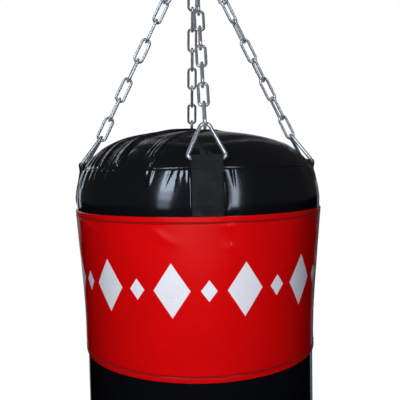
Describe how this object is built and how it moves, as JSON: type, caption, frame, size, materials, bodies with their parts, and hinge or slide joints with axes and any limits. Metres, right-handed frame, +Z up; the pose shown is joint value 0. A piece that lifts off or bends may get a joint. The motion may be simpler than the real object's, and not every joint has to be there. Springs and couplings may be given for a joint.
{
  "type": "hanging heavy punching bag",
  "caption": "Hanging heavy punching bag with chains, a welded ring, a ball-bearing swivel and a snap hook.",
  "frame": {"origin": "lowest point of the wire inside the top of the snap hook, where a ceiling hook or bracket bears", "axes": "+Z up along the hanging bag's axis, front strap towards -Y, right-hand strap towards +X"},
  "size_m": [0.3658, 0.3658, 1.8009],
  "materials": {
    "zinc": "satin",
    "chrome": "polished",
    "steel": "polished",
    "brass": "satin",
    "black_vinyl": "gloss",
    "red_vinyl": "gloss",
    "webbing": "matte",
    "foam": "matte",
    "rag": "matte"
  },
  "bodies": {
    "hook": {"hook_body": "zinc", "gate_rivet": "steel"},
    "gate": {"hook_gate": "zinc", "latch_pin": "steel"},
    "stirrup": {"swivel_stirrup": "zinc", "lower_race": "steel"},
    "cage": {"ball_cage": "brass", "bearing_balls": "steel"},
    "eye": {"eye_bolt": "zinc", "upper_race": "steel", "castle_nut": "zinc", "split_pin": "steel"},
    "bag": {"bridle_ring": "zinc", "chain_front": "zinc", "chain_right": "zinc", "chain_back": "zinc", "chain_left": "zinc", "delta_ring_front": "zinc", "delta_ring_right": "zinc", "delta_ring_back": "zinc", "delta_ring_left": "zinc", "strap_front": "webbing", "strap_right": "webbing", "strap_back": "webbing", "strap_left": "webbing", "top_cover": "black_vinyl", "side_panel": "black_vinyl", "strike_band": "red_vinyl", "base_panel": "black_vinyl", "top_pad": "foam", "foam_wrap": "foam", "rag_fill": "rag", "base_pad": "foam"}
  },
  "joints": [
    {"name": "gate_hinge", "type": "hinge", "parent": "hook", "child": "gate", "pos_m": [0.01311, 0, -0.06], "axis": [0, -1, 0], "range_deg": [0, 28], "stiffness_Nm_per_rad": 0.3, "springref_deg": -20.05},
    {"name": "swing_fore_aft", "type": "hinge", "parent": "hook", "child": "stirrup", "pos_m": [0, 0, -0.085], "axis": [1, 0, 0], "range_deg": [-45, 45]},
    {"name": "swivel_spin", "type": "hinge", "parent": "stirrup", "child": "eye", "pos_m": [0, 0, -0.11], "axis": [0, 0, 1], "continuous": true},
    {"name": "cage_spin", "type": "hinge", "parent": "stirrup", "child": "cage", "pos_m": [0, 0, -0.11], "axis": [0, 0, 1], "continuous": true},
    {"name": "swing_side", "type": "hinge", "parent": "eye", "child": "bag", "pos_m": [0, 0, -0.162], "axis": [0, 1, 0], "range_deg": [-45, 45]}
  ],
  "couplings": [
    {"joint": "cage_spin", "follows": "swivel_spin", "ratio": 0.5}
  ]
}
